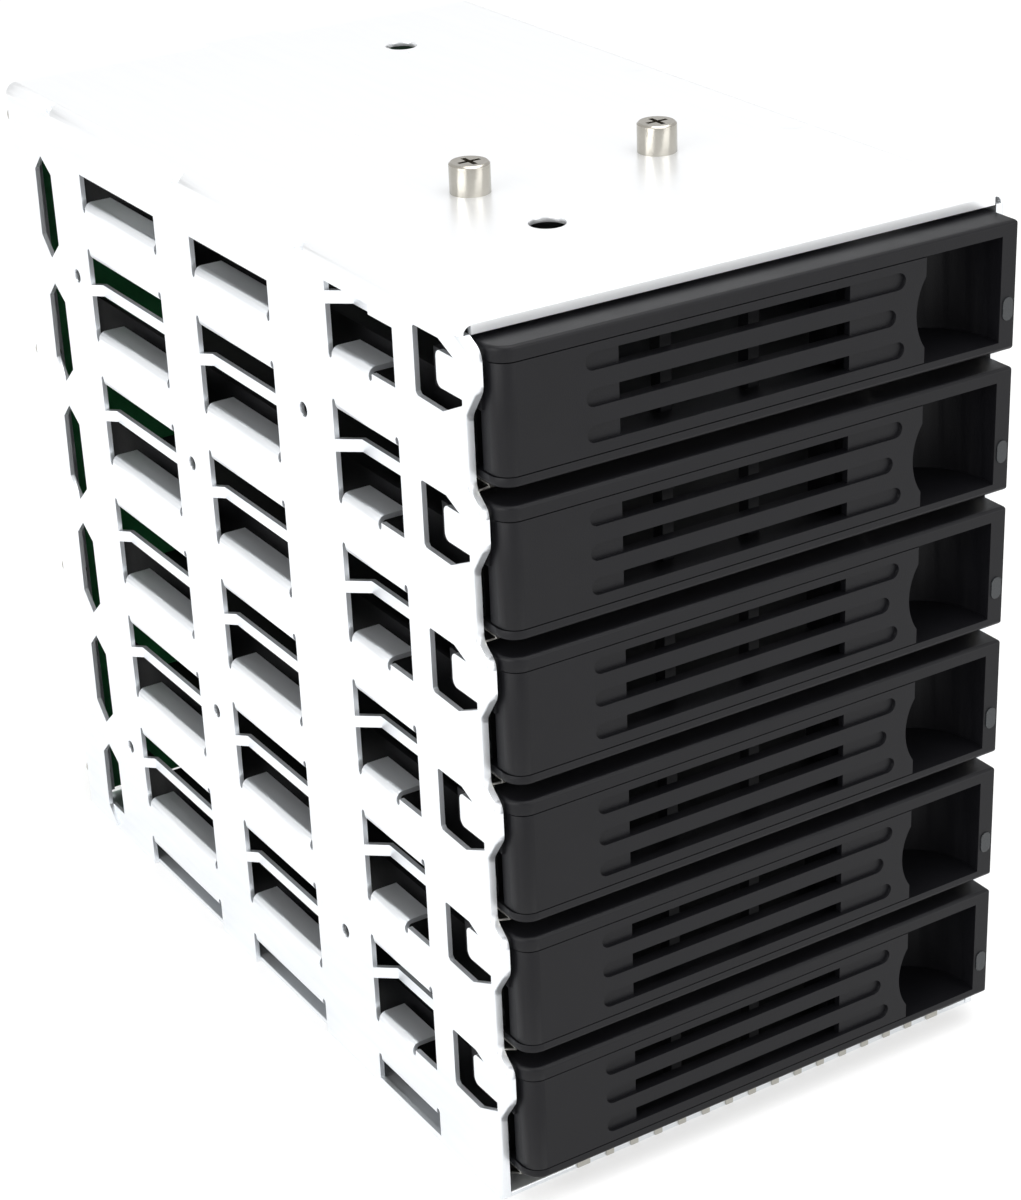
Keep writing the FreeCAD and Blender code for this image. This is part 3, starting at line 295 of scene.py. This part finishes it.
@dataclass
class Chassis:
    """The sheet-metal cage: walls, plates, fingers and studs.

    Beads and creases are places on the left wall in millimetres: y runs from
    the wall's front line, which lies nose_mm behind its foremost edge, and z
    runs from the cage's foot, or from the wall's top for the uppermost bay's
    beads. A weld's place is its share of the top plate's depth.
    """

    palette: Palette
    edge_mm: float = 0.28
    strip_edge_mm: float = 0.1
    stud_edge_mm: float = 0.2
    weld_mm: float = 5.0
    weld_inset_mm: float = 5.5
    weld_sides: int = 24
    weld_places: tuple[float, ...] = (0.59, 0.30, 0.065)
    pitch_mm: float = 29.0
    top_bay_mm: float = -23.8
    nose_mm: float = 4.3
    bead_mm: float = 0.04
    bead_width_mm: float = 1.7
    bead_slope_mm: float = 0.3
    bead_steps: int = 6
    beads: tuple[tuple[float, float], ...] = ((125.5, 148.8), (75.6, 96.5), (25.9, 38.4),
                                              (10.0, 16.0))
    crease_width_mm: float = 0.5
    creases: tuple[tuple[tuple[float, float], tuple[float, float]], ...] = (
        ((112.3, 171.7), (113.4, 129.3)), ((62.1, 171.4), (62.4, 157.6)),
        ((62.4, 157.6), (53.1, 156.4)), ((112.6, 113.5), (113.4, 71.0)),
        ((62.3, 113.5), (62.6, 99.0)))

    def build(self) -> None:
        """Dresses the sheet metal and adds its weld marks, beads and creases."""
        for node in ("left_wall", "right_wall", "bottom_plate"):
            dress(node, Surface.ZINC_SHEET, self.palette, self.edge_mm)
        # The top plate gets the zinc painted lighter, a painted highlight for the light falling
        # on it from above.
        dress("top_plate", Surface.ZINC_TOP_PAINTED_LIGHTER, self.palette, self.edge_mm)
        dress("bottom_finger_strip", Surface.SPRING, self.palette, self.strip_edge_mm)
        dress("shoulder_studs", Surface.NICKEL, self.palette, self.stud_edge_mm)
        self.spot_welds()
        self.pressed_marks()

    def pressed_marks(self) -> None:
        """Adds the shallow beads and creases pressed into the left wall.

        Each one is a flat-topped obround that stands out by a few hundredths
        of a millimetre, with sloping edges that catch the light.
        """
        low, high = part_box("left_wall")
        face, front = low[0] + LIFT_MM * MM, low[1] + self.nose_mm * MM
        shape = bmesh.new()
        for bay in range(BAYS):
            height = high[2] + (self.top_bay_mm - self.pitch_mm * bay) * MM
            for start, stop in self.beads:
                self.bead(shape, face, self.bead_width_mm,
                          (front + start * MM, height), (front + stop * MM, height))
        for crease in self.creases:
            self.bead(shape, face, self.crease_width_mm,
                      *((front + y * MM, z * MM) for y, z in crease))
        finish_piece("pressed_beads", shape, "cage",
                     self.palette.get(Surface.ZINC_SHEET))

    def bead(self, shape: bmesh.types.BMesh, face: float, width: float,
             start: tuple[float, float], stop: tuple[float, float]) -> None:
        """Adds one bead between two places on the wall.

        Args:
            shape: The bmesh that gets it.
            face: The wall's outer face.
            width: The bead's width in millimetres.
            start: Its first end as y and z.
            stop: Its last end as y and z.
        """
        along = (Vector(stop) - Vector(start)).normalized()
        across = Vector((-along.y, along.x))
        slope = min(self.bead_slope_mm, width / 3)
        rings = []
        for reach, out in ((width / 2, 0.0), (width / 2 - slope, self.bead_mm)):
            ring = []
            for centre, way in ((Vector(start), -1), (Vector(stop), 1)):
                for step in range(self.bead_steps + 1):
                    turn = math.pi * step / self.bead_steps
                    side = math.cos(turn) * across * -way + math.sin(turn) * along * way
                    corner = centre + side * reach * MM
                    ring.append(shape.verts.new((face - out * MM, *corner)))
            rings.append(ring)
        outer, inner = rings
        for n in range(len(outer)):
            after = (n + 1) % len(outer)
            shape.faces.new((outer[n], outer[after], inner[after], inner[n]))
        shape.faces.new(inner)

    def spot_welds(self) -> None:
        """Adds the flat round marks that spot welding leaves on the top plate."""
        low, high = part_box("top_plate")
        shape = bmesh.new()
        for share in self.weld_places:
            centre = (high[0] - self.weld_inset_mm * MM, low[1] + share * (high[1] - low[1]),
                      high[2] + LIFT_MM * MM)
            bmesh.ops.create_circle(
                shape, cap_ends=True, segments=self.weld_sides, radius=self.weld_mm / 2 * MM,
                matrix=Matrix.Translation(centre))
        # The weld marks share the top plate's zinc painted lighter, a painted highlight for
        # light from above.
        finish_piece("spot_weld_marks", shape, "cage",
                     self.palette.get(Surface.ZINC_TOP_PAINTED_LIGHTER))


@dataclass
class Backplane:
    """The board at the rear with its sockets, chips and lamps.

    A drive socket is socket_mm high, its contact bar's upper face lies bar_mm
    over its foot, and its contacts start and stop short of its two ends.
    """

    palette: Palette
    edge_mm: float = 0.15
    chip_edge_mm: float = 0.1
    contacts: int = 22
    contact_mm: float = 0.7
    contact_thick_mm: float = 0.12
    row_mm: float = 32.0
    socket_mm: float = 6.5
    bar_mm: float = 3.4
    short_front_mm: float = 1.3
    short_rear_mm: float = 2.2

    def build(self) -> None:
        """Dresses the board's parts and adds the contacts."""
        for node, surface, edge in (
                ("backplane_board", Surface.BOARD, 0.0),
                ("board_screws", Surface.NICKEL, self.edge_mm),
                ("drive_sockets", Surface.SOCKET, self.edge_mm),
                ("status_leds", Surface.LAMP, 0.0),
                ("power_sockets", Surface.PALE_NYLON, self.edge_mm),
                ("data_sockets", Surface.SOCKET, self.edge_mm),
                ("board_chips", Surface.EPOXY, self.chip_edge_mm)):
            dress(node, surface, self.palette, edge)
        self.socket_contacts()

    def socket_contacts(self) -> None:
        """Adds the gold contacts on each drive socket's bar."""
        low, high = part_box("drive_sockets")
        pitch = (high[2] - low[2] - self.socket_mm * MM) / (BAYS - 1)
        first = (low[0] + high[0] - self.row_mm * MM) / 2
        step = self.row_mm * MM / (self.contacts - 1)
        half = self.contact_mm / 2 * MM
        shape = bmesh.new()
        for bay in range(BAYS):
            bar = low[2] + bay * pitch + self.bar_mm * MM
            for n in range(self.contacts):
                x = first + step * n
                block(shape, (x - half, low[1] + self.short_front_mm * MM,
                              bar - self.contact_thick_mm * MM),
                      (x + half, high[1] - self.short_rear_mm * MM, bar + LIFT_MM * MM))
        finish_piece("socket_contacts", shape, "cage",
                     self.palette.get(Surface.GOLD))


@dataclass
class Carrier:
    """One drive carrier: bezel, lever, tray, light pipe and fittings."""

    bay: int
    palette: Palette
    edges: dict[str, float] = field(default_factory=lambda: {
        "bezel": 0.35, "lever": 0.35, "tray": 0.2, "tray_screws": 0.12})

    def build(self) -> None:
        """Dresses every piece of this carrier."""
        finishes = {"bezel": Surface.BLACK_ABS, "lever": Surface.BLACK_ABS,
                    "lever_pin": Surface.NICKEL, "tray": Surface.BLACK_STEEL,
                    "tray_screws": Surface.NICKEL, "light_pipe": Surface.SMOKED,
                    "spring_clip": Surface.SPRING}
        for kind, surface in finishes.items():
            dress(f"{kind}_{self.bay}", surface, self.palette, self.edges.get(kind, 0.0))


@dataclass(frozen=True)
class SoftBox:
    """A square area light that faces the object: place and size in metres."""

    name: str
    place: tuple[float, float, float]
    size: float
    watts: float


@dataclass
class Studio:
    """Floor, lights, sky and camera.

    The floor glows by floor_glow to the camera and in reflections, so it reads
    as white and still takes a soft shadow. The sky's first level lights the
    room and its second is what the camera sees.
    """

    floor_colour: str = "#F7F7F7"
    floor_glow: float = 0.55
    floor_half: float = 3.0
    floor_gap_mm: float = 0.1
    sky_levels: tuple[float, float] = (0.8, 1.0)
    aim: tuple[float, float, float] = (0.0, 0.0, 0.09)
    boxes: tuple[SoftBox, ...] = (
        SoftBox("soft_box_top", (0.15, -0.2, 1.3), 1.2, 14.0),
        SoftBox("soft_box_left", (-1.3, -0.3, 0.6), 1.1, 12.0),
        SoftBox("soft_box_front", (0.5, -1.4, 0.6), 1.0, 6.0))
    camera_place: tuple[float, float, float] = (-0.27813, -0.47579, 0.33877)
    camera_turn: tuple[float, float, float] = (63.899, 1.641, -33.146)
    lens_mm: float = 83.28
    sensor_mm: float = 36.0
    shift: tuple[float, float] = (-0.0555, 0.0193)
    nearest: float = 0.01

    def build(self) -> None:
        """Sets up everything that isn't the object."""
        self.floor()
        self.sky()
        self.lamps()
        self.camera()
        bpy.context.scene.view_settings.view_transform = "Standard"

    def floor(self) -> None:
        """Lays a pale floor that keeps the object's shadow."""
        low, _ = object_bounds()
        shape = bmesh.new()
        bmesh.ops.create_grid(
            shape, x_segments=1, y_segments=1, size=self.floor_half,
            matrix=Matrix.Translation((0, 0, low[2] - self.floor_gap_mm * MM)))
        mesh = bpy.data.meshes.new("floor")
        shape.to_mesh(mesh)
        shape.free()
        mesh.materials.append(self.floor_paint())
        floor = bpy.data.objects.new("floor", mesh)
        bpy.context.scene.collection.objects.link(floor)
        floor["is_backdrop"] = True

    def floor_paint(self) -> bpy.types.Material:
        """Builds the floor's white paint.

        Returns:
            A matt material that glows only to the camera and to reflections.
        """
        material = bpy.data.materials.new("painted_board_white")
        material.use_nodes = True
        tree = material.node_tree
        tree.nodes.clear()
        paint = add_node(tree, "ShaderNodeBsdfDiffuse", {"Color": linear(self.floor_colour)})
        glow = add_node(tree, "ShaderNodeEmission", {"Color": (1, 1, 1, 1), "Strength": 1.0})
        path = add_node(tree, "ShaderNodeLightPath")
        seen = add_node(tree, "ShaderNodeMath", {"operation": "MAXIMUM"},
                        {0: path.outputs["Is Camera Ray"], 1: path.outputs["Is Glossy Ray"]})
        share = add_node(tree, "ShaderNodeMath", {"operation": "MULTIPLY"},
                         {0: seen.outputs[0]})
        share.inputs[1].default_value = self.floor_glow
        mixed = add_node(tree, "ShaderNodeMixShader", None,
                         {0: share.outputs[0], 1: paint.outputs[0], 2: glow.outputs[0]})
        add_node(tree, "ShaderNodeOutputMaterial", None, {"Surface": mixed.outputs[0]})
        return material

    def sky(self) -> None:
        """Gives an even pale surround, brighter to the camera than to the room."""
        world = bpy.data.worlds.new("studio")
        bpy.context.scene.world = world
        world.use_nodes = True
        tree = world.node_tree
        tree.nodes.clear()
        path = add_node(tree, "ShaderNodeLightPath")
        room, seen = self.sky_levels
        level = add_node(tree, "ShaderNodeMapRange", {"To Min": room, "To Max": seen},
                         {"Value": path.outputs["Is Camera Ray"]})
        back = add_node(tree, "ShaderNodeBackground", {"Color": (1, 1, 1, 1)},
                        {"Strength": level.outputs["Result"]})
        add_node(tree, "ShaderNodeOutputWorld", None, {"Surface": back.outputs[0]})

    def lamps(self) -> None:
        """Hangs the soft boxes, each turned to the object's middle."""
        for box in self.boxes:
            lamp = bpy.data.lights.new(box.name, "AREA")
            lamp.size = box.size
            lamp.energy = box.watts
            item = bpy.data.objects.new(box.name, lamp)
            item.location = box.place
            gaze = Vector(self.aim) - Vector(box.place)
            item.rotation_euler = gaze.to_track_quat("-Z", "Y").to_euler()
            bpy.context.scene.collection.objects.link(item)

    def camera(self) -> None:
        """Places the camera."""
        data = bpy.data.cameras.new("camera")
        data.sensor_fit = "VERTICAL"
        data.sensor_height = data.sensor_width = self.sensor_mm
        data.lens = self.lens_mm
        data.shift_x, data.shift_y = self.shift
        data.clip_start = self.nearest
        item = bpy.data.objects.new("camera", data)
        item.location = self.camera_place
        item.rotation_euler = [math.radians(a) for a in self.camera_turn]
        bpy.context.scene.collection.objects.link(item)
        bpy.context.scene.camera = item


def main() -> None:
    """Builds every sub-assembly in order."""
    logging.basicConfig(level=logging.INFO, format="%(name)s: %(message)s")
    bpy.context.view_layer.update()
    palette = Palette()
    Chassis(palette).build()
    Backplane(palette).build()
    for bay in range(1, BAYS + 1):
        Carrier(bay, palette).build()
    Studio().build()


if __name__ == "__main__":
    main()
